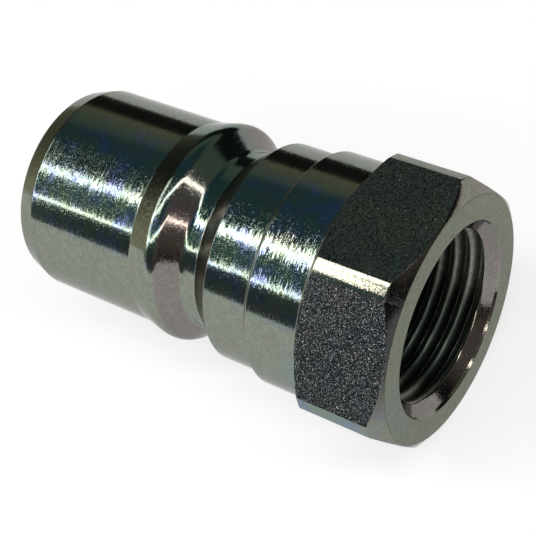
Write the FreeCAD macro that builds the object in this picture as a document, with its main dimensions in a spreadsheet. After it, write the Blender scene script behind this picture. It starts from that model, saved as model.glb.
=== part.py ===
import FreeCAD, Part
import Sketcher
import os

# Half inch hydraulic quick coupling plug, lying along X with a hexagon flat underneath.
# The origin is on the axis at mid length. The port opens to +X and the nose points to -X.
# Lengths are in millimetres.
SIZES = {
    # Outside of the body, from the nose to the port.
    "overall_length": 48.4,
    "nose_diameter": 23.5,
    "nose_length": 16.1,
    "tip_chamfer_length": 2.2,
    "tip_chamfer_depth": 0.7,
    "collar_diameter": 24.8,
    "collar_cone_length": 2.65,
    "collar_width": 0.9,
    "groove_diameter": 20.3,
    "groove_front_run": 2.25,
    "groove_floor_width": 1.8,
    "groove_rear_run": 2.6,
    "groove_front_fillet": 0.8,
    "groove_rear_fillet": 0.4,
    "body_diameter": 24.5,
    "body_length": 5.1,
    "step_length": 0.6,
    "shank_diameter": 26.0,
    "hex_length": 10.4,
    "hex_across_flats": 27.0,
    "hex_corner_diameter": 30.2,
    "hex_face_diameter": 26.6,
    "hex_chamfer_length": 1.2,
    # Inside of the body, from the port to the nose.
    "countersink_diameter": 21.2,
    "countersink_length": 1.3,
    "thread_bore_diameter": 18.631,
    "thread_depth": 15.0,
    "thread_runout_length": 1.3,
    "ring_land": 1.8,
    "ring_groove_diameter": 16.8,
    "ring_groove_width": 1.1,
    "chamber_diameter": 16.0,
    "seat_length": 2.8,
    "mouth_length": 3.0,
    "mouth_diameter": 10.4,
    # Retaining ring.
    "ring_thickness": 1.0,
    "ring_clearance": 0.05,
    "ring_inner_diameter": 14.0,
    "ring_gap": 4.0,
    "ring_lug_diameter": 3.2,
    "ring_lug_hole_diameter": 1.2,
    "ring_lug_spacing": 6.4,
    "ring_lug_height": 5.9,
    # Valve guide.
    "guide_clearance": 0.05,
    "guide_thickness": 2.8,
    "hub_diameter": 6.4,
    "hub_length": 5.6,
    "notch_count": 4,
    "notch_diameter": 6.0,
    "notch_circle_diameter": 16.4,
    # Poppet valve and its seal.
    "stem_diameter": 4.0,
    "stem_clearance": 0.05,
    "stem_overhang": 0.5,
    "stop_diameter": 6.2,
    "stop_clearance": 0.3,
    "valve_travel": 6.0,
    "flange_diameter": 12.0,
    "flange_length": 1.8,
    "seal_length": 1.0,
    "seal_offset": 0.2,
    "seal_bore_diameter": 8.4,
    "seat_clearance": 0.03,
    "lip_diameter": 9.6,
    "lip_length": 1.0,
    "lip_cone_length": 0.8,
    "stub_diameter": 6.4,
    "stub_recess": 0.4,
    "stub_chamfer": 0.5,
    # Spring.
    "spring_wire_diameter": 1.3,
    "spring_mean_diameter": 8.8,
    "spring_turns": 6,
}

doc = FreeCAD.newDocument("plug")
sheet = doc.addObject("Spreadsheet::Sheet", "Sizes")
for row, (name, value) in enumerate(SIZES.items(), start=1):
    sheet.set(f"A{row}", name)
    sheet.set(f"B{row}", str(value))
    sheet.setAlias(f"B{row}", name)
doc.recompute()


def size(name):
    return f"Sizes.{name}"


def radius(name):
    return f"Sizes.{name} / 2"


def after(start, *names):
    """Expression for the place that lies these lengths further toward the port than start."""
    return start + "".join(f" + Sizes.{name}" for name in names)


def before(start, *names):
    """Expression for the place that lies these lengths further toward the nose than start."""
    return start + "".join(f" - Sizes.{name}" for name in names)


# Two places less than this apart count as one.
SAME_PLACE = 0.001

# Places along the axis, as expressions of the sizes.
PORT_FACE = "Sizes.overall_length / 2"
TIP = "-Sizes.overall_length / 2"
NOSE = after(TIP, "tip_chamfer_length")
CONE = after(TIP, "nose_length")
COLLAR = after(CONE, "collar_cone_length")
GROOVE = after(COLLAR, "collar_width")
GROOVE_FLOOR = after(GROOVE, "groove_front_run")
GROOVE_FLANK = after(GROOVE_FLOOR, "groove_floor_width")
BODY = after(GROOVE_FLANK, "groove_rear_run")
STEP = after(BODY, "body_length")
SHANK = after(STEP, "step_length")
HEX = before(PORT_FACE, "hex_length")
THREAD_END = before(PORT_FACE, "thread_depth")
CHAMBER_END = before(THREAD_END, "thread_runout_length")
RING_BACK = before(CHAMBER_END, "ring_land")
RING_FRONT = before(RING_BACK, "ring_thickness")
GUIDE_FRONT = before(RING_FRONT, "guide_thickness")
HUB_FRONT = before(GUIDE_FRONT, "hub_length")
SEAT = after(TIP, "mouth_length")
SEAT_END = after(SEAT, "seat_length")
SEAL_FRONT = after(SEAT, "seal_offset")
SEAL_BACK = after(SEAL_FRONT, "seal_length")
FLANGE_BACK = after(SEAL_BACK, "flange_length")
LIP = before(SEAL_FRONT, "lip_length")


def origin_plane(body, role):
    return next(f for f in body.Origin.OriginFeatures if f.Role == role)


def new_sketch(body, name, role, offset=None):
    """Sketch on a plane of the body's origin, set off along the plane's normal."""
    sketch = body.newObject("Sketcher::SketchObject", name)
    sketch.AttachmentSupport = [(origin_plane(body, role), "")]
    sketch.MapMode = "FlatFace"
    if offset is not None:
        sketch.setExpression("AttachmentOffset.Base.z", offset)
    doc.recompute()
    return sketch


def value_of(expression):
    """Number that an expression gives with the sizes as they are."""
    return float(sheet.evalExpression(expression))


def dimension(sketch, geometry, point, across, up):
    """Holds a point at two signed distances from the sketch's origin, or on its axes where they are 0."""
    for kind, axis, expression in (("DistanceX", -2, across), ("DistanceY", -1, up)):
        if expression == "0":
            sketch.addConstraint(Sketcher.Constraint("PointOnObject", geometry, point, axis))
        else:
            index = sketch.addConstraint(
                Sketcher.Constraint(kind, -1, 1, geometry, point, value_of(expression))
            )
            sketch.setExpression(f"Constraints[{index}]", expression)


def polygon(sketch, corners):
    """Closed outline through (across, up) corners, each held by its own two expressions."""
    places = [FreeCAD.Vector(value_of(a), value_of(u), 0) for a, u in corners]
    count = len(corners)
    for i in range(count):
        sketch.addGeometry(Part.LineSegment(places[i], places[(i + 1) % count]), False)
    for i in range(count):
        sketch.addConstraint(Sketcher.Constraint("Coincident", i, 2, (i + 1) % count, 1))
    for i, (across, up) in enumerate(corners):
        dimension(sketch, i, 1, across, up)


def circle(sketch, across, up, radius_expression):
    """Circle with its centre and radius driven by expressions."""
    centre = FreeCAD.Vector(value_of(across), value_of(up), 0)
    arc = Part.Circle(centre, FreeCAD.Vector(0, 0, 1), value_of(radius_expression))
    index = sketch.addGeometry(arc, False)
    dimension(sketch, index, 3, across, up)
    size_index = sketch.addConstraint(
        Sketcher.Constraint("Radius", index, value_of(radius_expression))
    )
    sketch.setExpression(f"Constraints[{size_index}]", radius_expression)


def turned_body(label, corners):
    """Body turned about X from an outline of (along the axis, radius) corners."""
    body = doc.addObject("PartDesign::Body", label)
    sketch = new_sketch(body, label + "_profile", "XZ_Plane")
    polygon(sketch, corners)
    turning = body.newObject("PartDesign::Revolution", label + "_turning")
    turning.Profile = sketch
    turning.ReferenceAxis = (sketch, ["H_Axis"])
    turning.Angle = 360
    doc.recompute()
    return body


def ring_edges(shape, along, ring_radius):
    """Names of the circular edges at this place on the axis with this radius."""
    found = []
    for number, edge in enumerate(shape.Edges, start=1):
        box = edge.BoundBox
        on_plane = abs(box.XMin - along) < SAME_PLACE and box.XLength < SAME_PLACE
        if on_plane and hasattr(edge.Curve, "Radius") and abs(edge.Curve.Radius - ring_radius) < SAME_PLACE:
            found.append(f"Edge{number}")
    return found


def pad(body, name, sketch, length):
    """Adds material from the sketch's plane toward the port."""
    feature = body.newObject("PartDesign::Pad", name)
    feature.Profile = sketch
    feature.setExpression("Length", length)
    doc.recompute()
    return feature


def pocket(body, name, sketch, length):
    """Takes material away from the sketch's plane toward the nose."""
    feature = body.newObject("PartDesign::Pocket", name)
    feature.Profile = sketch
    feature.setExpression("Length", length)
    doc.recompute()
    return feature


def rounding(body, name, base, edges, size_name):
    """Rounds the named edges of a feature."""
    feature = body.newObject("PartDesign::Fillet", name)
    feature.Base = (base, edges)
    feature.setExpression("Radius", size(size_name))
    doc.recompute()
    return feature


# Body, turned from bar in one piece: nose, lead-in cone, collar and ball groove outside,
# port, valve chamber and valve seat inside.
plug_body = turned_body("plug_body", [
    (TIP, radius("mouth_diameter")),
    (TIP, before(radius("nose_diameter"), "tip_chamfer_depth")),
    (NOSE, radius("nose_diameter")),
    (CONE, radius("nose_diameter")),
    (COLLAR, radius("collar_diameter")),
    (GROOVE, radius("collar_diameter")),
    (GROOVE_FLOOR, radius("groove_diameter")),
    (GROOVE_FLANK, radius("groove_diameter")),
    (BODY, radius("body_diameter")),
    (STEP, radius("body_diameter")),
    (SHANK, radius("shank_diameter")),
    (HEX, radius("shank_diameter")),
    (after(HEX, "hex_chamfer_length"), radius("hex_corner_diameter")),
    (before(PORT_FACE, "hex_chamfer_length"), radius("hex_corner_diameter")),
    (PORT_FACE, radius("hex_face_diameter")),
    (PORT_FACE, radius("countersink_diameter")),
    (before(PORT_FACE, "countersink_length"), radius("thread_bore_diameter")),
    (THREAD_END, radius("thread_bore_diameter")),
    (CHAMBER_END, radius("chamber_diameter")),
    (RING_BACK, radius("chamber_diameter")),
    (RING_BACK, radius("ring_groove_diameter")),
    (before(RING_BACK, "ring_groove_width"), radius("ring_groove_diameter")),
    (before(RING_BACK, "ring_groove_width"), radius("chamber_diameter")),
    (SEAT_END, radius("chamber_diameter")),
    (SEAT, radius("mouth_diameter")),
])

# Six flats, milled over the length of the hexagon and leaving a narrow turned strip at each corner.
flats_outline = new_sketch(plug_body, "hex_outline", "YZ_Plane", PORT_FACE)
corner = "Sizes.hex_across_flats / sqrt(3)"
half_corner = "Sizes.hex_across_flats / sqrt(12)"
half_flats = radius("hex_across_flats")
polygon(flats_outline, [
    (corner, "0"),
    (half_corner, half_flats),
    (f"-({half_corner})", half_flats),
    (f"-({corner})", "0"),
    (f"-({half_corner})", f"-{half_flats}"),
    (half_corner, f"-{half_flats}"),
])
circle(flats_outline, "0", "0", size("hex_corner_diameter"))
flats = pocket(plug_body, "hex_flats", flats_outline, size("hex_length"))

# Corners of the ball groove's floor, rounded by the tool's nose.
front_corner = ring_edges(flats.Shape, value_of(GROOVE_FLOOR), value_of(radius("groove_diameter")))
front_rounding = rounding(plug_body, "groove_front_rounding", flats, front_corner, "groove_front_fillet")
rear_corner = ring_edges(front_rounding.Shape, value_of(GROOVE_FLANK), value_of(radius("groove_diameter")))
rounding(plug_body, "groove_rear_rounding", front_rounding, rear_corner, "groove_rear_fillet")

# Valve guide: a spider whose hub guides the stem, with notches that let the oil through.
guide_bore = after(radius("stem_diameter"), "stem_clearance")
guide_rim = before(radius("chamber_diameter"), "guide_clearance")
valve_guide = turned_body("valve_guide", [
    (HUB_FRONT, guide_bore),
    (HUB_FRONT, radius("hub_diameter")),
    (GUIDE_FRONT, radius("hub_diameter")),
    (GUIDE_FRONT, guide_rim),
    (RING_FRONT, guide_rim),
    (RING_FRONT, guide_bore),
])
notch_outline = new_sketch(valve_guide, "notch_outline", "YZ_Plane", RING_FRONT)
circle(notch_outline, "0", radius("notch_circle_diameter"), radius("notch_diameter"))
notch = pocket(valve_guide, "flow_notch", notch_outline, size("guide_thickness"))
notches = valve_guide.newObject("PartDesign::PolarPattern", "flow_notches")
notches.Originals = [notch]
notches.Axis = (origin_plane(valve_guide, "X_Axis"), [""])
notches.Angle = 360
notches.setExpression("Occurrences", size("notch_count"))
valve_guide.Tip = notches
doc.recompute()

# Retaining ring: stamped from spring steel, open at the top, with a plier hole in each lug.
retaining_ring = doc.addObject("PartDesign::Body", "retaining_ring")
ring_outline = new_sketch(retaining_ring, "ring_outline", "YZ_Plane", RING_FRONT)
circle(ring_outline, "0", "0", before(radius("ring_groove_diameter"), "ring_clearance"))
circle(ring_outline, "0", "0", radius("ring_inner_diameter"))
pad(retaining_ring, "ring_band", ring_outline, size("ring_thickness"))

gap_outline = new_sketch(retaining_ring, "gap_outline", "YZ_Plane", RING_BACK)
polygon(gap_outline, [
    (radius("ring_gap"), "0"),
    (radius("ring_gap"), size("ring_groove_diameter")),
    (f"-{radius('ring_gap')}", size("ring_groove_diameter")),
    (f"-{radius('ring_gap')}", "0"),
])
pocket(retaining_ring, "ring_opening", gap_outline, size("ring_thickness"))

lug_outline = new_sketch(retaining_ring, "lug_outline", "YZ_Plane", RING_FRONT)
hole_outline = new_sketch(retaining_ring, "lug_hole_outline", "YZ_Plane", RING_BACK)
for side in ("", "-"):
    lug_side = side + radius("ring_lug_spacing")
    circle(lug_outline, lug_side, size("ring_lug_height"), radius("ring_lug_diameter"))
    circle(hole_outline, lug_side, size("ring_lug_height"), radius("ring_lug_hole_diameter"))
pad(retaining_ring, "ring_lugs", lug_outline, size("ring_thickness"))
pocket(retaining_ring, "ring_lug_holes", hole_outline, size("ring_thickness"))

# Poppet valve: the stub is pushed back by the socket, the flange carries the spring,
# and the stop shoulder meets the hub at the end of the travel.
STUB_FRONT = after(TIP, "stub_recess")
STOP = before(HUB_FRONT, "valve_travel", "stop_clearance")
STEM_END = after(RING_FRONT, "stem_overhang")
poppet_valve = turned_body("poppet_valve", [
    (STUB_FRONT, "0"),
    (STUB_FRONT, before(radius("stub_diameter"), "stub_chamfer")),
    (after(STUB_FRONT, "stub_chamfer"), radius("stub_diameter")),
    (before(LIP, "lip_cone_length"), radius("stub_diameter")),
    (LIP, radius("lip_diameter")),
    (SEAL_FRONT, radius("lip_diameter")),
    (SEAL_FRONT, radius("seal_bore_diameter")),
    (SEAL_BACK, radius("seal_bore_diameter")),
    (SEAL_BACK, radius("flange_diameter")),
    (FLANGE_BACK, radius("flange_diameter")),
    (FLANGE_BACK, radius("stop_diameter")),
    (STOP, radius("stop_diameter")),
    (STOP, radius("stem_diameter")),
    (STEM_END, radius("stem_diameter")),
    (STEM_END, "0"),
])

# Poppet seal: a moulded ring in the poppet's groove, with the cone of the valve seat.
seat_slope = "(Sizes.chamber_diameter - Sizes.mouth_diameter) / 2 / Sizes.seat_length"
seal_front_radius = f"{radius('mouth_diameter')} + Sizes.seal_offset * {seat_slope} - Sizes.seat_clearance"
poppet_seal = turned_body("poppet_seal", [
    (SEAL_FRONT, radius("seal_bore_diameter")),
    (SEAL_FRONT, seal_front_radius),
    (SEAL_BACK, f"{seal_front_radius} + Sizes.seal_length * {seat_slope}"),
    (SEAL_BACK, radius("seal_bore_diameter")),
])

# Valve spring: wire wound from the flange to the guide, with both ends ground flat.
# The round wire is given eight sides, which keep the coil light.
WIRE_SIDES = 8
valve_spring = doc.addObject("PartDesign::Body", "valve_spring")
wire_outline = new_sketch(valve_spring, "wire_outline", "XZ_Plane")
wire_corners = []
for number in range(WIRE_SIDES):
    angle = 360 * (number + 0.5) / WIRE_SIDES
    wire_corners.append((
        f"{FLANGE_BACK} + {radius('spring_wire_diameter')} * cos({angle} deg)",
        f"{radius('spring_mean_diameter')} + {radius('spring_wire_diameter')} * sin({angle} deg)",
    ))
polygon(wire_outline, wire_corners)
coil = valve_spring.newObject("PartDesign::AdditiveHelix", "coil")
coil.Profile = wire_outline
coil.ReferenceAxis = (wire_outline, ["H_Axis"])
coil.Mode = "height-turns-angle"
coil.setExpression("Height", f"({GUIDE_FRONT}) - ({FLANGE_BACK})")
coil.setExpression("Turns", size("spring_turns"))
doc.recompute()
for end, place in (("front", FLANGE_BACK), ("rear", GUIDE_FRONT)):
    grinding_outline = new_sketch(valve_spring, f"{end}_grinding_outline", "YZ_Plane", place)
    circle(grinding_outline, "0", "0", size("spring_mean_diameter"))
    grinding = pocket(valve_spring, f"{end}_grinding", grinding_outline, size("spring_wire_diameter"))
    grinding.Reversed = end == "rear"
    doc.recompute()

os.makedirs("parts", exist_ok=True)
for piece in (plug_body, valve_guide, retaining_ring, poppet_valve, poppet_seal, valve_spring):
    faults = [o.Label for o in [piece] + piece.Group if "Invalid" in o.State or "Error" in o.State]
    if faults:
        raise RuntimeError(f"{piece.Label}: {faults} did not compute")
    if piece.Shape.isNull() or not piece.Shape.isValid() or len(piece.Shape.Solids) != 1:
        raise RuntimeError(f"{piece.Label}: not one valid solid")
    piece.Shape.exportStep(f"parts/{piece.Label}.step")
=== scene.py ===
import math

import bmesh
import bpy
from mathutils import Matrix, Vector


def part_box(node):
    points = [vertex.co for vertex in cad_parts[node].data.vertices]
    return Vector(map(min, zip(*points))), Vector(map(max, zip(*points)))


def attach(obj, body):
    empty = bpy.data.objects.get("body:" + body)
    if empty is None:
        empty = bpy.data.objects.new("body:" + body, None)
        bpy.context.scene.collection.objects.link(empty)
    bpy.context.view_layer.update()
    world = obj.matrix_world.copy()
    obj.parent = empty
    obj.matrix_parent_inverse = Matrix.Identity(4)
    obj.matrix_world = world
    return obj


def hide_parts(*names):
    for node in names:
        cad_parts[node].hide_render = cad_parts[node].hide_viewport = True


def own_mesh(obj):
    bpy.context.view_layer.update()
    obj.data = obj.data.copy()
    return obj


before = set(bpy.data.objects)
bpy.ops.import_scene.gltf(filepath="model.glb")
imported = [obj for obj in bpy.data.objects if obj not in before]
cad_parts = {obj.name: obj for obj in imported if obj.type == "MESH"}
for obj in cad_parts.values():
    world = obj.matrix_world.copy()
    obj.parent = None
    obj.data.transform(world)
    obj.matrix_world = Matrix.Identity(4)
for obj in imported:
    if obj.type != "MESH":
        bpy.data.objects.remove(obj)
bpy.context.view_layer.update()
scene = bpy.context.scene

# Plug body. One piece of free-cutting steel, turned from bar with its nose, collar and ball groove,
# bored and threaded from the port, and milled with six flats. It is zinc plated and passivated.
# Lengths are in millimetres, and places along the axis are counted from the nose's end face.
MM = 0.001
TURN_STEPS = 216
HEX_SIDES = 6
body_low, body_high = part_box("plug_body")
overall_length = (body_high.x - body_low.x) / MM
mouth_radius = 5.2
mouth_end = 3.0
seat_end = 5.8
chamber_radius = 8.0
ring_groove_radius = 8.4
ring_groove_width = 1.1
ring_land = 1.8
runout_cone = 1.3
nose_radius = 11.75
nose_lead_in = 0.7
nose_start = 2.2
nose_end = 16.1
collar_radius = 12.4
collar_start = 18.75
collar_end = 19.65
groove_radius = 10.15
groove_start = 21.9
groove_end = 23.7
body_radius = 12.25
body_start = 26.3
body_end = 31.4
shank_radius = 13.0
shank_start = 32.0
hex_length = 10.4
hex_half_width = 13.5
hex_corner_radius = body_high.y / MM
hex_face_radius = 13.3
hex_chamfer_length = 1.2
hex_start = overall_length - hex_length
thread_depth = 15.0
thread_pitch = 1.814
thread_height = 1.162
thread_minor_radius = 9.3155
thread_root_share = 0.12
thread_lead_in = 0.3
thread_runout_turns = 2
countersink_radius = 10.6
countersink_length = 1.3
lip_depth = 0.28
lip_width = 0.2
thread_end = overall_length - thread_depth
chamber_end = thread_end - runout_cone
ring_groove_end = chamber_end - ring_land
ring_groove_start = ring_groove_end - ring_groove_width

# Corners of the turned outline, each with the radius that rounds it: from the thread's end through
# the bore to the nose, then back along the outside to the port face and its countersink.
turned_outline = [
    (thread_end, thread_minor_radius, 0),
    (chamber_end, chamber_radius, 0.2),
    (ring_groove_end, chamber_radius, 0.05),
    (ring_groove_end, ring_groove_radius, 0.05),
    (ring_groove_start, ring_groove_radius, 0.05),
    (ring_groove_start, chamber_radius, 0.05),
    (seat_end, chamber_radius, 0.3),
    (mouth_end, mouth_radius, 0.2),
    (0.0, mouth_radius, 0.2),
    (0.0, nose_radius - nose_lead_in, 0.3),
    (nose_start, nose_radius, 0.6),
    (nose_end, nose_radius, 0.25),
    (collar_start, collar_radius, 2.5),
    (collar_end, collar_radius, 1.2),
    (groove_start, groove_radius, 0.8),
    (groove_end, groove_radius, 0.4),
    (body_start, body_radius, 0.15),
    (body_end, body_radius, 0.1),
    (shank_start, shank_radius, 0.15),
    (hex_start, shank_radius, 0.12),
    (hex_start + hex_chamfer_length, hex_corner_radius, 0.12),
    (overall_length - hex_chamfer_length, hex_corner_radius, 0.15),
    (overall_length, hex_face_radius, 0.2),
    (overall_length, countersink_radius, 0.05),
    (overall_length - lip_depth, countersink_radius - lip_width, 0.1),
    (overall_length - countersink_length, thread_minor_radius, 0.25),
]
ARC_STEP = math.radians(15)
EDGE_GUARD = 0.05


def rounded(corners):
    """Outline through (along, radius, rounding) corners, with a guard point close to each arc's ends."""
    points = []
    for number, (along, radius, rounding) in enumerate(corners):
        corner = Vector((along, radius))
        if rounding == 0:
            points.append(corner)
            continue
        back = (Vector(corners[number - 1][:2]) - corner).normalized()
        ahead = (Vector(corners[(number + 1) % len(corners)][:2]) - corner).normalized()
        half_angle = back.angle(ahead) / 2
        reach = rounding / math.tan(half_angle)
        centre = corner + (back + ahead).normalized() * (rounding / math.sin(half_angle))
        start = corner + back * reach - centre
        sweep = -start.angle_signed(corner + ahead * reach - centre)
        steps = max(2, math.ceil(abs(sweep) / ARC_STEP))
        points.append(corner + back * (reach + EDGE_GUARD))
        for step in range(steps + 1):
            points.append(centre + Matrix.Rotation(sweep * step / steps, 2) @ start)
        points.append(corner + ahead * (reach + EDGE_GUARD))
    return points


def thread_groove(along, angle):
    """Radius of the pipe thread's groove, right-handed and rounded, which runs out at both ends."""
    runout = min(1.0, max(0.0, (along - thread_end) / (thread_runout_turns * thread_pitch)))
    lead_in = min(1.0, max(0.0, (overall_length - countersink_length - along) / thread_lead_in))
    turn = along / thread_pitch - angle / math.tau
    crest = math.hypot(1, thread_root_share)
    form = (crest - math.hypot(math.cos(math.pi * turn), thread_root_share)) / (crest - thread_root_share)
    return thread_minor_radius + thread_height * runout * lead_in * form


def on_part(along, radius, angle):
    """Point in metres at a place along the axis, a radius and an angle round the axis from +Y."""
    return Vector((
        body_low.x + along * MM,
        radius * MM * math.cos(angle),
        radius * MM * math.sin(angle),
    ))


def turned_faces(mesh, rings, closed):
    """Skin over rings of (place along the axis, radius at each step round). Gives its faces by ring."""
    loops = []
    for along, radii in rings:
        loops.append([
            mesh.verts.new(on_part(along, radius, math.tau * step / len(radii)))
            for step, radius in enumerate(radii)
        ])
    bands = []
    for number in range(len(loops) if closed else len(loops) - 1):
        near = loops[number]
        far = loops[(number + 1) % len(loops)]
        band = []
        for step in range(len(near)):
            after = (step + 1) % len(near)
            band.append(mesh.faces.new((near[step], near[after], far[after], far[step])))
        bands.append(band)
    if not closed:
        mesh.faces.new(loops[0])
        mesh.faces.new(loops[-1])
    for face in mesh.faces:
        face.smooth = True
    bmesh.ops.recalc_face_normals(mesh, faces=mesh.faces[:])
    return bands


angles = [math.tau * step / TURN_STEPS for step in range(TURN_STEPS)]
outline_points = rounded(turned_outline)
plug_rings = []
for point in outline_points:
    in_port = point.x > hex_start and point.y < countersink_radius
    plug_rings.append((point.x, [
        max(point.y, thread_groove(point.x, angle)) if in_port else point.y for angle in angles
    ]))
tip_ring = min(range(len(outline_points)), key=lambda number: outline_points[number].x)
countersink_ring = len(plug_rings) - 2
THREAD_RINGS_PER_TURN = 20
thread_start = outline_points[-1].x
thread_rings = round((thread_start - thread_end) / thread_pitch * THREAD_RINGS_PER_TURN)
for number in range(1, thread_rings):
    along = thread_start - (thread_start - thread_end) * number / thread_rings
    plug_rings.append((along, [thread_groove(along, angle) for angle in angles]))

plug_mesh = bmesh.new()
BRIGHT, GRAINED, DULL = 0, 1, 2
for number, band in enumerate(turned_faces(plug_mesh, plug_rings, closed=True)):
    for face in band:
        face.material_index = DULL if number < tip_ring or number > countersink_ring else BRIGHT

# Each flat is cut off the turned blank and closed over again.
for side in range(HEX_SIDES):
    turn = math.tau * (side + 0.5) / HEX_SIDES
    outward = Vector((0, math.cos(turn), math.sin(turn)))
    cut = bmesh.ops.bisect_plane(
        plug_mesh,
        geom=plug_mesh.verts[:] + plug_mesh.edges[:] + plug_mesh.faces[:],
        plane_co=outward * hex_half_width * MM,
        plane_no=outward,
        clear_outer=True,
    )
    rim = [item for item in cut["geom_cut"] if isinstance(item, bmesh.types.BMEdge)]
    for face in bmesh.ops.holes_fill(plug_mesh, edges=rim)["faces"]:
        face.material_index = GRAINED
        face.smooth = False

# Handling has rounded the flats' edges.
worn_edge = 0.1
EDGE_SEGMENTS = 2
flat_edges = [
    edge for edge in plug_mesh.edges
    if sum(face.material_index == GRAINED for face in edge.link_faces) == 1
]
bmesh.ops.bevel(plug_mesh, geom=flat_edges, offset=worn_edge * MM, segments=EDGE_SEGMENTS, profile=0.5,
                affect="EDGES", clamp_overlap=True, material=BRIGHT)
bmesh.ops.recalc_face_normals(plug_mesh, faces=plug_mesh.faces[:])


def linear(hex_colour):
    """Linear RGBA of an sRGB hex colour."""
    channels = [int(hex_colour[place:place + 2], 16) / 255 for place in (1, 3, 5)]
    return [c / 12.92 if c <= 0.04045 else ((c + 0.055) / 1.055) ** 2.4 for c in channels] + [1.0]


def add(tree, kind, inputs=None, stops=None, **settings):
    """Adds a node with its settings. Inputs are values or nodes' outputs, and stops fill a colour ramp."""
    node = tree.nodes.new("ShaderNode" + kind)
    for name, value in settings.items():
        setattr(node, name, value)
    for socket, value in (inputs or {}).items():
        if isinstance(value, bpy.types.NodeSocket):
            tree.links.new(value, node.inputs[socket])
        else:
            node.inputs[socket].default_value = value
    for number, (position, colour) in enumerate(stops or []):
        elements = node.color_ramp.elements
        element = elements[number] if number < 2 else elements.new(position)
        element.position = position
        element.color = linear(colour)
    return node


def new_finish(name):
    """Empty material and its node tree."""
    finish = bpy.data.materials.new(name)
    finish.use_nodes = True
    finish.node_tree.nodes.clear()
    return finish, finish.node_tree


def patch(tree, place, centre, inner, outer, share):
    """Output that is share within the inner radius round a centre, and nothing past the outer one."""
    away = add(tree, "VectorMath", {0: place.outputs["Object"], 1: centre}, operation="DISTANCE")
    fade = add(tree, "MapRange", {
        "Value": away.outputs["Value"],
        "From Min": inner * MM,
        "From Max": outer * MM,
        "To Min": share,
        "To Max": 0.0,
    })
    return fade.outputs["Result"]


# A colour mix names its sockets alike for each kind of data, so these go by number.
SHARE, UNDER, OVER, MIXED = 0, 6, 7, 2
NOISE_MEAN = 0.5
# Zinc mirrors a little less toward a grazing angle.
zinc_grazing_tint = linear("#d8d8d8")

# Bright zinc plate on a turned surface, under a blue passivate. The plate mirrors the room. Tool marks
# fray each reflection into fine hairs round the part, and grit breaks it into sparks. Both are drawn
# coarser than the real ones so that they show. The passivate's film tints the grey pink, green and
# straw, and lies thicker, in green, teal and violet blue, along the upper side. The side that a surface
# faces is told by the cosine of its angle to a direction.
bright_zinc, tree = new_finish("zinc_plate_on_turned_steel")
place = add(tree, "TexCoord")
slant = add(tree, "SeparateXYZ", {"Vector": place.outputs["Normal"]})
spot = add(tree, "SeparateXYZ", {"Vector": place.outputs["Object"]})
film_side = math.radians(116)
scuff_side = math.radians(110)
hex_fade = 0.3
upward = add(tree, "VectorMath", {
    0: place.outputs["Normal"], 1: (0, math.cos(film_side), math.sin(film_side)),
}, operation="DOT_PRODUCT")
scuffward = add(tree, "VectorMath", {
    0: place.outputs["Normal"], 1: (0, math.cos(scuff_side), math.sin(scuff_side)),
}, operation="DOT_PRODUCT")
off_nose_side = add(tree, "MapRange", {"Value": slant.outputs["X"], "From Min": -0.2, "From Max": -0.1})
off_hexagon = add(tree, "MapRange", {
    "Value": spot.outputs["X"],
    "From Min": body_low.x + (hex_start - hex_fade) * MM,
    "From Max": body_low.x + hex_start * MM,
    "To Min": 1.0,
    "To Max": 0.0,
})

# Tool marks lean the surface to and fro round the part: a little all over, more in rubbed patches, and
# most along the upper side, where they are deepest on the shank. The hexagon has only the faint ones.
mark_spacing = 0.12 * MM
mark_length = 1.3 * MM
mark_tilt = 0.02
scuff_size = 3.0 * MM
scuff_tilt = 0.12
hair_tilt = 0.18
shank_hair_tilt = 0.26
marks_place = add(tree, "Mapping", {
    "Vector": place.outputs["Object"],
    "Scale": (1 / mark_spacing, 1 / mark_length, 1 / mark_length),
})
marks = add(tree, "TexNoise", {"Vector": marks_place.outputs["Vector"], "Scale": 1.0, "Detail": 1.0})
scuffs = add(tree, "TexNoise", {
    "Vector": place.outputs["Object"], "Scale": 1 / scuff_size, "Detail": 2.0,
})
scuffed = add(tree, "MapRange", {"Value": scuffs.outputs["Fac"], "From Min": 0.4, "From Max": 0.6})
handled = add(tree, "MapRange", {
    "Value": scuffward.outputs["Value"],
    "From Min": 0.98,
    "From Max": 0.997,
    "To Max": off_hexagon.outputs["Result"],
})
rubbed = add(tree, "Math", {
    0: scuffed.outputs["Result"], 1: handled.outputs["Result"],
}, operation="MULTIPLY")
risen = add(tree, "MapRange", {
    "Value": upward.outputs["Value"],
    "From Min": 0.93,
    "From Max": 0.97,
    "To Max": off_hexagon.outputs["Result"],
})
upper = add(tree, "Math", {
    0: risen.outputs["Result"], 1: off_nose_side.outputs["Result"],
}, operation="MULTIPLY")
hair_depth = add(tree, "MapRange", {
    "Value": spot.outputs["X"],
    "From Min": body_low.x + body_end * MM,
    "From Max": body_low.x + shank_start * MM,
    "To Min": hair_tilt,
    "To Max": shank_hair_tilt,
})
hairs = add(tree, "MapRange", {
    "Value": upper.outputs["Value"], "To Min": mark_tilt, "To Max": hair_depth.outputs["Result"],
})
coarseness = add(tree, "Math", {
    0: rubbed.outputs["Value"], 1: scuff_tilt, 2: hairs.outputs["Result"],
}, operation="MULTIPLY_ADD")
swing = add(tree, "Math", {0: marks.outputs["Fac"], 1: NOISE_MEAN}, operation="SUBTRACT")
tilt = add(tree, "Math", {
    0: swing.outputs["Value"], 1: coarseness.outputs["Value"],
}, operation="MULTIPLY")
round_part = add(tree, "VectorMath", {
    0: (1, 0, 0), 1: place.outputs["Normal"],
}, operation="CROSS_PRODUCT")
marked = add(tree, "VectorMath", {
    0: round_part.outputs["Vector"], "Scale": tilt.outputs["Value"],
}, operation="SCALE")

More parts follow.
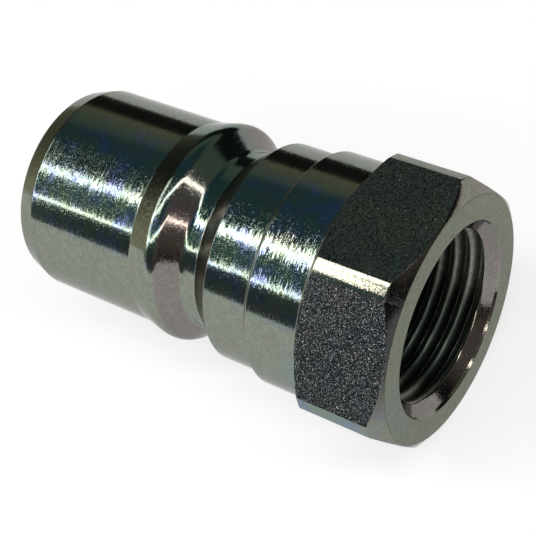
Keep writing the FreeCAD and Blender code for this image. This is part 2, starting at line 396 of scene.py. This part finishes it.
# Grit leans a few specks far out of line, and further along the upper side.
grit_size = 0.1 * MM
speck_tilt = 3.0
upper_speck_tilt = 7.0
grit = add(tree, "TexNoise", {"Vector": place.outputs["Object"], "Scale": 1 / grit_size, "Detail": 1.0})
lean = add(tree, "VectorMath", {0: grit.outputs["Color"], 1: [NOISE_MEAN] * 3}, operation="SUBTRACT")
lean_squared = add(tree, "VectorMath", {
    0: lean.outputs["Vector"], 1: lean.outputs["Vector"],
}, operation="DOT_PRODUCT")
sparkle = add(tree, "MapRange", {
    "Value": upper.outputs["Value"], "To Min": speck_tilt, "To Max": upper_speck_tilt,
})
spark = add(tree, "Math", {
    0: lean_squared.outputs["Value"], 1: sparkle.outputs["Result"],
}, operation="MULTIPLY")
sparks = add(tree, "VectorMath", {
    0: lean.outputs["Vector"], "Scale": spark.outputs["Value"],
}, operation="SCALE")
roughened = add(tree, "VectorMath", {
    0: marked.outputs["Vector"], 1: sparks.outputs["Vector"],
}, operation="ADD")
facing = add(tree, "VectorMath", {
    0: place.outputs["Normal"], 1: roughened.outputs["Vector"],
}, operation="ADD")
even = add(tree, "VectorMath", {0: facing.outputs["Vector"]}, operation="NORMALIZE")

# The end face and the shoulders that look toward the nose were turned coarser, and are paler and duller.
smooth_roughness = 0.06
marked_roughness = 0.13
shoulder_roughness = 0.36
polish = add(tree, "MapRange", {
    "Value": marks.outputs["Fac"],
    "From Min": 0.35,
    "From Max": 0.7,
    "To Min": smooth_roughness,
    "To Max": marked_roughness,
})
shoulder = add(tree, "MapRange", {
    "Value": slant.outputs["X"], "From Min": -0.35, "From Max": -0.55, "To Max": 0.55,
})
dulling = add(tree, "Math", {
    0: shoulder.outputs["Result"], 1: shoulder_roughness,
}, operation="MULTIPLY")
gloss = add(tree, "Math", {
    0: polish.outputs["Result"], 1: dulling.outputs["Value"],
}, operation="ADD")

# The thin film is mottled, with dark stain lines that are strongest on the port face. It turns pink on
# the countersink and the collar's rear flank. Where the chamfer meets the port face, shade is painted.
blotch_size = 1.6 * MM
stain_size = 1.1 * MM
stain_line = 0.012
blotches = add(tree, "TexNoise", {
    "Vector": place.outputs["Object"], "Scale": 1 / blotch_size, "Detail": 5.0, "Roughness": 0.62,
})
passivate = add(tree, "ValToRGB", {"Fac": blotches.outputs["Fac"]}, stops=[
    (0.32, "#8d8a84"), (0.41, "#7d8277"), (0.49, "#888e82"), (0.56, "#7b8379"), (0.66, "#8a8b7d"),
])
stains = add(tree, "TexNoise", {
    "Vector": place.outputs["Object"], "Scale": 1 / stain_size, "Detail": 2.0,
})
off_line = add(tree, "Math", {0: stains.outputs["Fac"], 1: NOISE_MEAN}, operation="SUBTRACT")
from_line = add(tree, "Math", {0: off_line.outputs["Value"]}, operation="ABSOLUTE")
stain_depth = add(tree, "MapRange", {
    "Value": slant.outputs["X"], "From Min": 0.9, "From Max": 0.98, "To Min": 0.42, "To Max": 0.7,
})
stain_share = add(tree, "MapRange", {
    "Value": from_line.outputs["Value"],
    "From Max": stain_line,
    "To Min": stain_depth.outputs["Result"],
    "To Max": 0.0,
})
stained = add(tree, "Mix", {
    SHARE: stain_share.outputs["Result"], UNDER: passivate.outputs["Color"], OVER: linear("#565a52"),
}, data_type="RGBA")
# Pink film colours, with dark stops that are a painted shade along the edge of the port face.
pink_film_and_edge_shade = add(tree, "ValToRGB", {"Fac": slant.outputs["X"]}, stops=[
    (0.45, "#ffffff"), (0.68, "#f6e3f1"), (0.73, "#f6e3f1"), (0.76, "#fce0ea"), (0.85, "#f0ece8"),
    (0.9, "#a09d97"), (0.95, "#a09d97"), (0.98, "#e4e3d9"),
])
pinked_and_edge_shaded = add(tree, "Mix", {
    SHARE: 1.0, UNDER: stained.outputs[MIXED], OVER: pink_film_and_edge_shade.outputs["Color"],
}, data_type="RGBA", blend_type="MULTIPLY")
paled = add(tree, "Mix", {
    SHARE: shoulder.outputs["Result"], UNDER: pinked_and_edge_shaded.outputs[MIXED], OVER: linear("#8f8c82"),
}, data_type="RGBA")

# The thick film lies along the upper side, thinner where it was rubbed, and at the hexagon's lower
# corner. It is bluest in a patch on the nose, and green high on the collar's rear flank.
film_size = 2.4 * MM
nose_patch_centre = on_part(11.43, nose_radius, math.radians(105.7))
hex_patch_centre = on_part(overall_length - 6.0, hex_corner_radius, math.radians(181.9))
flank_patch_centre = on_part(20.8, 11.2, math.radians(77))
film = add(tree, "TexNoise", {
    "Vector": place.outputs["Object"], "Scale": 1 / film_size, "Detail": 3.0, "Roughness": 0.55,
})
nose_patch = patch(tree, place, nose_patch_centre, inner=0.0, outer=3.0, share=0.18)
thickness = add(tree, "Math", {0: film.outputs["Fac"], 1: nose_patch}, operation="ADD")
thick_film = add(tree, "ValToRGB", {"Fac": thickness.outputs["Value"]}, stops=[
    (0.4, "#708d80"), (0.5, "#66868c"), (0.58, "#617ea2"), (0.7, "#6a86d2"),
])
film_rise = add(tree, "MapRange", {
    "Value": upward.outputs["Value"], "From Min": 0.8, "From Max": 0.88, "To Max": 0.55,
})
film_area = add(tree, "Math", {
    0: off_nose_side.outputs["Result"], 1: off_hexagon.outputs["Result"],
}, operation="MULTIPLY")
kept_film = add(tree, "MapRange", {"Value": rubbed.outputs["Value"], "To Min": 1.0, "To Max": 0.4})
whole_film = add(tree, "Math", {
    0: film_rise.outputs["Result"], 1: kept_film.outputs["Result"],
}, operation="MULTIPLY")
film_share = add(tree, "Math", {
    0: whole_film.outputs["Value"], 1: film_area.outputs["Value"],
}, operation="MULTIPLY")
hex_patch = patch(tree, place, hex_patch_centre, inner=0.0, outer=9.0, share=0.6)
filmed = add(tree, "Math", {0: film_share.outputs["Value"], 1: hex_patch}, operation="MAXIMUM")
coated = add(tree, "Mix", {
    SHARE: filmed.outputs["Value"], UNDER: paled.outputs[MIXED], OVER: thick_film.outputs["Color"],
}, data_type="RGBA")
flank_patch = patch(tree, place, flank_patch_centre, inner=1.2, outer=6.6, share=0.75)
flanked = add(tree, "Mix", {
    SHARE: flank_patch, UNDER: coated.outputs[MIXED], OVER: linear("#547a72"),
}, data_type="RGBA")

# The hexagon's chamfer is darkened beside one corner, a painted shade.
painted_shade_centre = on_part(overall_length - 0.7, 14.0, math.radians(136))
painted_shade_share = patch(tree, place, painted_shade_centre, inner=4.0, outer=10.0, share=1.0)
painted_shade_ramp = add(tree, "ValToRGB", {"Fac": slant.outputs["X"]}, stops=[
    (0.6, "#ffffff"), (0.75, "#8c949c"), (0.88, "#8c949c"), (0.95, "#ffffff"),
])
colour = add(tree, "Mix", {
    SHARE: painted_shade_share, UNDER: flanked.outputs[MIXED], OVER: painted_shade_ramp.outputs["Color"],
}, data_type="RGBA", blend_type="MULTIPLY")
surface = add(tree, "BsdfPrincipled", {
    "Base Color": colour.outputs[MIXED],
    "Metallic": 1.0,
    "Roughness": gloss.outputs["Value"],
    "Specular Tint": zinc_grazing_tint,
    "Normal": even.outputs["Vector"],
})
add(tree, "OutputMaterial", {"Surface": surface.outputs["BSDF"]})

# The same plate on the flats. Their pitted grain, drawn coarser than the real one so that it shows,
# breaks the mirror into sparkle. The plate is dark in the pits and faintly blue in broad patches.
grained_zinc, tree = new_finish("zinc_plate_on_grained_flats")
place = add(tree, "TexCoord")
grain_size = 0.16 * MM
grain_tilt = 0.4
pit_tilt = 12.0
grain_lean = (0, 0.15, 0.04)
cloud_size = 3.5 * MM
grain = add(tree, "TexNoise", {
    "Vector": place.outputs["Object"], "Scale": 1 / grain_size, "Detail": 1.0,
})
lean = add(tree, "VectorMath", {0: grain.outputs["Color"], 1: [NOISE_MEAN] * 3}, operation="SUBTRACT")
lean_squared = add(tree, "VectorMath", {
    0: lean.outputs["Vector"], 1: lean.outputs["Vector"],
}, operation="DOT_PRODUCT")
pitting = add(tree, "Math", {
    0: lean_squared.outputs["Value"], 1: pit_tilt, 2: grain_tilt,
}, operation="MULTIPLY_ADD")
pitted = add(tree, "VectorMath", {
    0: lean.outputs["Vector"], "Scale": pitting.outputs["Value"],
}, operation="SCALE")
pits = add(tree, "VectorMath", {0: pitted.outputs["Vector"], 1: grain_lean}, operation="ADD")
facing = add(tree, "VectorMath", {
    0: place.outputs["Normal"], 1: pits.outputs["Vector"],
}, operation="ADD")
even = add(tree, "VectorMath", {0: facing.outputs["Vector"]}, operation="NORMALIZE")
shade = add(tree, "ValToRGB", {"Fac": grain.outputs["Fac"]}, stops=[
    (0.35, "#454b4e"), (0.65, "#8b9294"),
])
clouds = add(tree, "TexNoise", {
    "Vector": place.outputs["Object"], "Scale": 1 / cloud_size, "Detail": 2.0,
})
cloud_tint = add(tree, "ValToRGB", {"Fac": clouds.outputs["Fac"]}, stops=[
    (0.4, "#e2e8ee"), (0.6, "#f6f4ef"),
])
clouded = add(tree, "Mix", {
    SHARE: 1.0, UNDER: shade.outputs["Color"], OVER: cloud_tint.outputs["Color"],
}, data_type="RGBA", blend_type="MULTIPLY")
surface = add(tree, "BsdfPrincipled", {
    "Base Color": clouded.outputs[MIXED],
    "Metallic": 1.0,
    "Roughness": 0.16,
    "Specular Tint": zinc_grazing_tint,
    "Normal": even.outputs["Vector"],
})
add(tree, "OutputMaterial", {"Surface": surface.outputs["BSDF"]})

# In the bore the plating current is weak, so the plate is thin and dull. Its colour is darkened further in,
# a painted shade, and along the lower side, a painted shade on a smoother surface.
thin_zinc, tree = new_finish("thin_zinc_plate_in_bore")
place = add(tree, "TexCoord")
tear_size = 0.5 * MM
tear_depth = 0.05 * MM
depth_shade_start = 2.0
depth_shade_full = 8.0
painted_shade_side = math.radians(-75)
open_side_roughness = 0.46
shaded_side_roughness = 0.34
tears = add(tree, "TexNoise", {
    "Vector": place.outputs["Object"], "Scale": 1 / tear_size, "Detail": 3.0,
})
shade = add(tree, "ValToRGB", {"Fac": tears.outputs["Fac"]}, stops=[
    (0.35, "#8a8c84"), (0.65, "#a6a69c"),
])
spot = add(tree, "SeparateXYZ", {"Vector": place.outputs["Object"]})
# Painted shade: the colour darkens further into the bore.
painted_depth_shade = add(tree, "MapRange", {
    "Value": spot.outputs["X"],
    "From Min": body_high.x - depth_shade_start * MM,
    "From Max": body_high.x - depth_shade_full * MM,
    "To Max": 0.8,
})
depth_shaded = add(tree, "Mix", {
    SHARE: painted_depth_shade.outputs["Result"], UNDER: shade.outputs["Color"], OVER: linear("#3a3c38"),
}, data_type="RGBA")
# Painted shade: the colour darkens along the lower side, where the surface is also smoother.
toward_shaded_smooth_side = add(tree, "VectorMath", {
    0: place.outputs["Object"], 1: (0, math.cos(painted_shade_side), math.sin(painted_shade_side)),
}, operation="DOT_PRODUCT")
shaded_smooth_side = add(tree, "MapRange", {
    "Value": toward_shaded_smooth_side.outputs["Value"],
    "From Min": 0.75 * thread_minor_radius * MM,
    "From Max": 0.92 * thread_minor_radius * MM,
    "To Max": 0.88,
})
side_shaded = add(tree, "Mix", {
    SHARE: shaded_smooth_side.outputs["Result"], UNDER: depth_shaded.outputs[MIXED], OVER: linear("#445350"),
}, data_type="RGBA")
torn = add(tree, "Bump", {"Height": tears.outputs["Fac"], "Strength": 0.4, "Distance": tear_depth})
dullness = add(tree, "MapRange", {
    "Value": shaded_smooth_side.outputs["Result"], "To Min": open_side_roughness, "To Max": shaded_side_roughness,
})
surface = add(tree, "BsdfPrincipled", {
    "Base Color": side_shaded.outputs[MIXED],
    "Metallic": 1.0,
    "Roughness": dullness.outputs["Result"],
    "Specular Tint": zinc_grazing_tint,
    "Normal": torn.outputs["Normal"],
})
add(tree, "OutputMaterial", {"Surface": surface.outputs["BSDF"]})

SHARP_ANGLE = math.radians(20)


def finished_piece(name, mesh, finishes):
    """Object from a bmesh. Its edges stay sharp, apart from those of the rounded thread."""
    for edge in mesh.edges:
        threaded = all(face.material_index == DULL for face in edge.link_faces)
        edge.smooth = threaded or edge.calc_face_angle(0) < SHARP_ANGLE
    data = bpy.data.meshes.new(name)
    mesh.to_mesh(data)
    mesh.free()
    for finish in finishes:
        data.materials.append(finish)
    piece = bpy.data.objects.new(name, data)
    scene.collection.objects.link(piece)
    return piece


plug = finished_piece("plated_plug_body", plug_mesh, [bright_zinc, grained_zinc, thin_zinc])
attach(plug, "plug")
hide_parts("plug_body")

# Poppet valve. Turned from plain steel: the stub that the socket pushes back, the lip and groove
# that hold the seal, the flange that carries the spring, the stop shoulder and the guided stem.
FINE_TURN_STEPS = 96
CENTRE_RADIUS = 0.05
stub_radius = 3.2
stub_chamfer = 0.5
lip_radius = 4.8
seal_bore_radius = 4.2
flange_radius = 6.0
stop_radius = 3.1
stem_radius = 2.0
stub_front = 0.4
stub_back = 1.4
lip_front = 2.2
seal_front = 3.2
seal_back = 4.2
flange_back = 6.0
stop_back = 14.6
stem_back = 29.8
poppet_outline = [
    (stub_front, CENTRE_RADIUS, 0),
    (stub_front, stub_radius - stub_chamfer, 0.1),
    (stub_front + stub_chamfer, stub_radius, 0.1),
    (stub_back, stub_radius, 0.2),
    (lip_front, lip_radius, 0.1),
    (seal_front, lip_radius, 0.06),
    (seal_front, seal_bore_radius, 0.06),
    (seal_back, seal_bore_radius, 0.06),
    (seal_back, flange_radius, 0.1),
    (flange_back, flange_radius, 0.15),
    (flange_back, stop_radius, 0.2),
    (stop_back, stop_radius, 0.15),
    (stop_back, stem_radius, 0.1),
    (stem_back, stem_radius, 0.25),
    (stem_back, CENTRE_RADIUS, 0),
]
poppet_mesh = bmesh.new()
poppet_rings = [(point.x, [point.y] * FINE_TURN_STEPS) for point in rounded(poppet_outline)]
turned_faces(poppet_mesh, poppet_rings, closed=False)

# Plain turned steel, oiled: grey and bright, with fine tool marks round it, drawn coarser than the real
# ones so that they show.
plain_steel, tree = new_finish("plain_turned_steel")
place = add(tree, "TexCoord")
mark_depth = 0.02 * MM
marks_place = add(tree, "Mapping", {
    "Vector": place.outputs["Object"],
    "Scale": (1 / mark_spacing, 1 / mark_length, 1 / mark_length),
})
marks = add(tree, "TexNoise", {"Vector": marks_place.outputs["Vector"], "Scale": 1.0, "Detail": 2.0})
shade = add(tree, "ValToRGB", {"Fac": marks.outputs["Fac"]}, stops=[(0.3, "#8c8a86"), (0.7, "#a5a39e")])
scored = add(tree, "Bump", {"Height": marks.outputs["Fac"], "Strength": 0.5, "Distance": mark_depth})
surface = add(tree, "BsdfPrincipled", {
    "Base Color": shade.outputs["Color"],
    "Metallic": 1.0,
    "Roughness": 0.24,
    "Normal": scored.outputs["Normal"],
})
add(tree, "OutputMaterial", {"Surface": surface.outputs["BSDF"]})
poppet = finished_piece("turned_poppet_valve", poppet_mesh, [plain_steel])
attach(poppet, "valve")
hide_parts("poppet_valve")

# Poppet seal. A ring moulded in black nitrile rubber, snapped into the poppet's groove, whose cone
# closes on the body's seat.
seal_clearance = 0.02
seal_front_radius = 5.37
seal_back_radius = 6.33
seal_outline = [
    (seal_front + seal_clearance, seal_bore_radius + seal_clearance, 0.08),
    (seal_front + seal_clearance, seal_front_radius, 0.12),
    (seal_back - seal_clearance, seal_back_radius, 0.15),
    (seal_back - seal_clearance, seal_bore_radius + seal_clearance, 0.08),
]
seal_mesh = bmesh.new()
seal_rings = [(point.x, [point.y] * FINE_TURN_STEPS) for point in rounded(seal_outline)]
turned_faces(seal_mesh, seal_rings, closed=True)

# Nitrile rubber, moulded: near black, with a soft sheen and a slightly dusty, uneven skin.
nitrile, tree = new_finish("moulded_nitrile_rubber")
place = add(tree, "TexCoord")
skin_size = 0.25 * MM
skin_depth = 0.03 * MM
skin = add(tree, "TexNoise", {"Vector": place.outputs["Object"], "Scale": 1 / skin_size, "Detail": 3.0})
shade = add(tree, "ValToRGB", {"Fac": skin.outputs["Fac"]}, stops=[(0.35, "#151516"), (0.7, "#242425")])
grainy = add(tree, "Bump", {"Height": skin.outputs["Fac"], "Strength": 0.3, "Distance": skin_depth})
surface = add(tree, "BsdfPrincipled", {
    "Base Color": shade.outputs["Color"], "Roughness": 0.5, "Normal": grainy.outputs["Normal"],
})
add(tree, "OutputMaterial", {"Surface": surface.outputs["BSDF"]})
seal = finished_piece("moulded_poppet_seal", seal_mesh, [nitrile])
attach(seal, "valve")
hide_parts("poppet_seal")

# Valve spring. Cold coiled from round drawn wire, with a closed coil at each end that is ground
# flat. It stands on the guide and pushes on the poppet's flange; it is built at one length and is not made
# to shorten as the valve opens.
coil_radius = 4.4
wire_radius = 0.65
spring_front = flange_back
spring_rear = 26.5
coils = 7
closed_pitch = 1.34
closed_coils = 0.7
opening_coils = 0.6
ground_depth = 0.3
COIL_STEPS = 40
WIRE_STEPS = 14
path_steps = coils * COIL_STEPS
opening = []
for step in range(path_steps + 1):
    coils_from_end = min(step, path_steps - step) / COIL_STEPS
    share = min(1.0, max(0.0, (coils_from_end - closed_coils) / opening_coils))
    opening.append(share * share * (3 - 2 * share))
closed_run = closed_pitch * coils
spring_run = spring_rear - spring_front - 2 * ground_depth
open_rise = (spring_run - closed_run) / sum(opening[1:])
spring_mesh = bmesh.new()
wire_loops = []
along = spring_front + ground_depth
for step in range(path_steps + 1):
    if step:
        along += closed_pitch / COIL_STEPS + open_rise * opening[step]
    coil_angle = math.tau * step / COIL_STEPS
    loop = []
    for turn in range(WIRE_STEPS):
        wire_angle = math.tau * turn / WIRE_STEPS
        reach = coil_radius + wire_radius * math.cos(wire_angle)
        ground = min(spring_rear, max(spring_front, along + wire_radius * math.sin(wire_angle)))
        loop.append(spring_mesh.verts.new(on_part(ground, reach, coil_angle)))
    wire_loops.append(loop)
for near, far in zip(wire_loops, wire_loops[1:]):
    for turn in range(WIRE_STEPS):
        after = (turn + 1) % WIRE_STEPS
        spring_mesh.faces.new((near[turn], near[after], far[after], far[turn])).smooth = True
spring_mesh.faces.new(wire_loops[0])
spring_mesh.faces.new(wire_loops[-1])
bmesh.ops.recalc_face_normals(spring_mesh, faces=spring_mesh.faces[:])

# Drawn spring wire: grey steel, satin, with faint streaks from the die.
drawn_wire, tree = new_finish("drawn_spring_wire")
place = add(tree, "TexCoord")
streak_size = 0.4 * MM
streak_depth = 0.02 * MM
streaks = add(tree, "TexNoise", {
    "Vector": place.outputs["Object"], "Scale": 1 / streak_size, "Detail": 3.0,
})
shade = add(tree, "ValToRGB", {"Fac": streaks.outputs["Fac"]}, stops=[
    (0.35, "#77736d"), (0.65, "#95918a"),
])
drawn = add(tree, "Bump", {"Height": streaks.outputs["Fac"], "Strength": 0.2, "Distance": streak_depth})
surface = add(tree, "BsdfPrincipled", {
    "Base Color": shade.outputs["Color"],
    "Metallic": 1.0,
    "Roughness": 0.3,
    "Normal": drawn.outputs["Normal"],
})
add(tree, "OutputMaterial", {"Surface": surface.outputs["BSDF"]})
spring = finished_piece("coiled_valve_spring", spring_mesh, [drawn_wire])
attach(spring, "plug")
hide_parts("valve_spring")
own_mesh(spring)

# Valve guide. A brass spider, turned with a long hub for the stem and milled with four round flow
# notches in its rim. It rests on the retaining ring.
hub_front = 20.9
guide_front = spring_rear
guide_rear = 29.3
guide_bore_radius = 2.05
hub_radius = 3.2
guide_radius = 7.95
notch_radius = 3.0
notch_circle_radius = 8.2
notch_count = 4
edge_break = 0.15


def spider_rim(angle, inset):
    """Radius of the guide's notched rim, set in from its full size."""
    between = math.tau / notch_count
    off = (angle - math.tau / 4 + between / 2) % between - between / 2
    reach = (notch_radius + inset) ** 2 - (notch_circle_radius * math.sin(off)) ** 2
    full = guide_radius - inset
    if reach <= 0:
        return full
    return min(full, notch_circle_radius * math.cos(off) - math.sqrt(reach))


guide_rings = [
    (hub_front, [guide_bore_radius + edge_break] * TURN_STEPS),
    (hub_front, [hub_radius - edge_break] * TURN_STEPS),
    (hub_front + edge_break, [hub_radius] * TURN_STEPS),
    (guide_front, [hub_radius] * TURN_STEPS),
    (guide_front, [spider_rim(angle, edge_break) for angle in angles]),
    (guide_front + edge_break, [spider_rim(angle, 0) for angle in angles]),
    (guide_rear - edge_break, [spider_rim(angle, 0) for angle in angles]),
    (guide_rear, [spider_rim(angle, edge_break) for angle in angles]),
    (guide_rear, [guide_bore_radius + edge_break] * TURN_STEPS),
    (guide_rear - edge_break, [guide_bore_radius] * TURN_STEPS),
    (hub_front + edge_break, [guide_bore_radius] * TURN_STEPS),
]
guide_mesh = bmesh.new()
turned_faces(guide_mesh, guide_rings, closed=True)

# Free-cutting brass, turned: yellow and bright, with a dull, uneven bloom of oil.
brass, tree = new_finish("turned_brass")
place = add(tree, "TexCoord")
bloom_size = 0.8 * MM
bloom_depth = 0.03 * MM
clean_roughness = 0.2
bloom_roughness = 0.4
bloom = add(tree, "TexNoise", {
    "Vector": place.outputs["Object"], "Scale": 1 / bloom_size, "Detail": 4.0,
})
shade = add(tree, "ValToRGB", {"Fac": bloom.outputs["Fac"]}, stops=[
    (0.35, "#94743c"), (0.65, "#b8944f"),
])
dulled = add(tree, "MapRange", {
    "Value": bloom.outputs["Fac"], "To Min": clean_roughness, "To Max": bloom_roughness,
})
worn = add(tree, "Bump", {"Height": bloom.outputs["Fac"], "Strength": 0.2, "Distance": bloom_depth})
surface = add(tree, "BsdfPrincipled", {
    "Base Color": shade.outputs["Color"],
    "Metallic": 1.0,
    "Roughness": dulled.outputs["Result"],
    "Normal": worn.outputs["Normal"],
})
add(tree, "OutputMaterial", {"Surface": surface.outputs["BSDF"]})
guide = finished_piece("turned_valve_guide", guide_mesh, [brass])
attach(guide, "plug")
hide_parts("valve_guide")

# Retaining ring. Stamped from spring steel strip, hardened and phosphated black, and sprung into
# the groove behind the guide. Its own solid is right, and stamping has rounded its edges.
stamping_radius = 0.1
stamping_angle = math.radians(50)
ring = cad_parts["retaining_ring"]
stamped_edge = ring.modifiers.new("stamped_edge", "BEVEL")
stamped_edge.width = stamping_radius * MM
stamped_edge.segments = EDGE_SEGMENTS
stamped_edge.limit_method = "ANGLE"
stamped_edge.angle_limit = stamping_angle

# Manganese phosphate on steel: a matt, charcoal coat of fine crystals, drawn coarser than the real
# ones so that they show.
phosphate, tree = new_finish("phosphated_spring_steel")
place = add(tree, "TexCoord")
crystal_size = 0.12 * MM
crystal_depth = 0.03 * MM
crystals = add(tree, "TexNoise", {
    "Vector": place.outputs["Object"], "Scale": 1 / crystal_size, "Detail": 2.0,
})
shade = add(tree, "ValToRGB", {"Fac": crystals.outputs["Fac"]}, stops=[
    (0.35, "#1e1e1f"), (0.7, "#3a3a3a"),
])
crystalline = add(tree, "Bump", {
    "Height": crystals.outputs["Fac"], "Strength": 0.4, "Distance": crystal_depth,
})
surface = add(tree, "BsdfPrincipled", {
    "Base Color": shade.outputs["Color"], "Roughness": 0.55, "Normal": crystalline.outputs["Normal"],
})
add(tree, "OutputMaterial", {"Surface": surface.outputs["BSDF"]})
ring.data.materials.clear()
ring.data.materials.append(phosphate)

# Floor. A wide sheet of pale paper under the hexagon's flat, lit by the lamps, and lifted to white
# where it is seen directly or in the metal.
floor_half = 4.0
floor_data = bpy.data.meshes.new("floor")
floor_data.from_pydata([
    (-floor_half, -floor_half, body_low.z),
    (floor_half, -floor_half, body_low.z),
    (floor_half, floor_half, body_low.z),
    (-floor_half, floor_half, body_low.z),
], [], [(0, 1, 2, 3)])
floor = bpy.data.objects.new("floor", floor_data)
scene.collection.objects.link(floor)
paper, tree = new_finish("pale_paper")
paper_lift = 0.68
ray = add(tree, "LightPath")
direct = add(tree, "Math", {
    0: ray.outputs["Is Camera Ray"], 1: ray.outputs["Is Glossy Ray"],
}, operation="ADD")
seen = add(tree, "Math", {
    0: direct.outputs["Value"], 1: ray.outputs["Is Transmission Ray"],
}, operation="ADD")
lift = add(tree, "Math", {0: seen.outputs["Value"], 1: paper_lift}, operation="MULTIPLY")
glow = add(tree, "Emission", {"Strength": lift.outputs["Value"]})
matt = add(tree, "BsdfDiffuse", {"Color": linear("#b0b5ba")})
sheet = add(tree, "AddShader", {0: matt.outputs["BSDF"], 1: glow.outputs["Emission"]})
add(tree, "OutputMaterial", {"Surface": sheet.outputs["Shader"]})
floor_data.materials.append(paper)

# Studio. A dim room: grey green in front, dark below and olive above at the back, straw to the left and
# warm grey to the right. Two long strip lamps, overhead and to the front, draw two bright lines along
# the turned surfaces, beside a short tube overhead and a paler window at the nose end.
room = bpy.data.worlds.new("dim_room")
room.use_nodes = True
tree = room.node_tree
tree.nodes.clear()
direction = add(tree, "TexCoord")
toward = add(tree, "SeparateXYZ", {"Vector": direction.outputs["Generated"]})
front_wall = add(tree, "ValToRGB", {"Fac": toward.outputs["Z"]}, stops=[
    (0.0, "#56585a"), (0.29, "#4e5052"), (0.4, "#5c625b"), (0.5, "#687874"), (0.68, "#647c76"),
    (0.77, "#44585a"), (1.0, "#44585c"),
])
back_wall = add(tree, "ValToRGB", {"Fac": toward.outputs["Z"]}, stops=[
    (0.0, "#262625"), (0.35, "#262625"), (0.4, "#868473"), (0.65, "#6e746a"), (0.71, "#44585a"),
    (1.0, "#44585c"),
])
backward = add(tree, "MapRange", {"Value": toward.outputs["Y"], "From Min": 0.0, "From Max": 0.3})
walls = add(tree, "Mix", {
    SHARE: backward.outputs["Result"], UNDER: front_wall.outputs["Color"], OVER: back_wall.outputs["Color"],
}, data_type="RGBA")
left_wall_rise = (0, 0.4, 1)
left_height = add(tree, "VectorMath", {
    0: direction.outputs["Generated"], 1: left_wall_rise,
}, operation="DOT_PRODUCT")
left_wall = add(tree, "ValToRGB", {"Fac": left_height.outputs["Value"]}, stops=[
    (0.0, "#c8c1a8"), (0.27, "#8c8672"), (0.5, "#42413c"), (0.63, "#2a2826"),
])
leftward = add(tree, "MapRange", {"Value": toward.outputs["X"], "From Min": -0.6, "From Max": -0.8})
left_room = add(tree, "Mix", {
    SHARE: leftward.outputs["Result"], UNDER: walls.outputs[MIXED], OVER: left_wall.outputs["Color"],
}, data_type="RGBA")
right_wall = add(tree, "ValToRGB", {"Fac": toward.outputs["Z"]}, stops=[
    (0.0, "#3a3632"), (0.08, "#4e4945"), (0.22, "#7a736c"), (0.6, "#7e797c"),
])
rightward = add(tree, "MapRange", {"Value": toward.outputs["X"], "From Min": 0.2, "From Max": 0.5})
forward = add(tree, "MapRange", {"Value": toward.outputs["Y"], "From Min": 0.15, "From Max": -0.1})
right_front = add(tree, "Math", {
    0: rightward.outputs["Result"], 1: forward.outputs["Result"],
}, operation="MULTIPLY")
far_right = add(tree, "MapRange", {"Value": toward.outputs["X"], "From Min": 0.75, "From Max": 0.9})
right_end = add(tree, "Math", {
    0: right_front.outputs["Value"], 1: far_right.outputs["Result"],
}, operation="MAXIMUM")
whole_room = add(tree, "Mix", {
    SHARE: right_end.outputs["Value"], UNDER: left_room.outputs[MIXED], OVER: right_wall.outputs["Color"],
}, data_type="RGBA")
surroundings = add(tree, "Background", {"Color": whole_room.outputs[MIXED]})
add(tree, "OutputWorld", {"Surface": surroundings.outputs["Background"]})
scene.world = room


def strip_lamp(name, start, end, width, radiance, colour):
    """Long rectangular lamp from start to end that faces the object."""
    middle = (Vector(start) + Vector(end)) / 2
    length = (Vector(end) - Vector(start)).length
    along_lamp = (Vector(end) - Vector(start)).normalized()
    away = (middle - along_lamp * middle.dot(along_lamp)).normalized()
    data = bpy.data.lights.new(name, "AREA")
    data.shape = "RECTANGLE"
    data.size = length
    data.size_y = width
    data.energy = radiance * math.pi * length * width
    data.color = linear(colour)[:3]
    lamp = bpy.data.objects.new(name, data)
    turned = Matrix((along_lamp, away.cross(along_lamp), away)).transposed().to_4x4()
    lamp.matrix_world = Matrix.Translation(middle) @ turned
    scene.collection.objects.link(lamp)


warm_white = "#fff1e8"
lamp_radiance = 8.0
window_radiance = 3.2
strip_lamp("overhead_strip", (-1.9, -0.956, 1.0), (2.0, 0.604, 1.0), 0.12, lamp_radiance, warm_white)
strip_lamp("overhead_tube", (-0.72, -0.524, 1.0), (-0.48, -0.558, 1.0), 0.11, lamp_radiance, warm_white)
strip_lamp("front_strip", (-1.8, -1.411, 0.6), (1.5, -0.33, 0.6), 0.068, lamp_radiance, warm_white)
strip_lamp("end_window", (-1.03, 0.05, 0.97), (-1.01, -1.0, 0.3), 0.2, window_radiance, "#ffffff")

# Camera. Above the object and to its right, close to it, and rolled as the photograph is. Its place,
# axes and lens were fitted to the photograph's outline.
camera_place = (0.07232, -0.06693, 0.10999)
camera_right = Vector((0.8212, 0.5333, -0.2030)).normalized()
camera_back = Vector((0.4774, -0.4473, 0.7563)).normalized()
camera_up = camera_back.cross(camera_right)
camera_data = bpy.data.cameras.new("camera")
camera_data.sensor_width = 36.0
camera_data.lens = 91.37
camera_data.clip_start = 0.005
camera = bpy.data.objects.new("camera", camera_data)
camera_axes = Matrix((camera_right, camera_up, camera_back)).transposed().to_4x4()
camera.matrix_world = Matrix.Translation(camera_place) @ camera_axes
scene.collection.objects.link(camera)
scene.camera = camera
scene.view_settings.view_transform = "Standard"
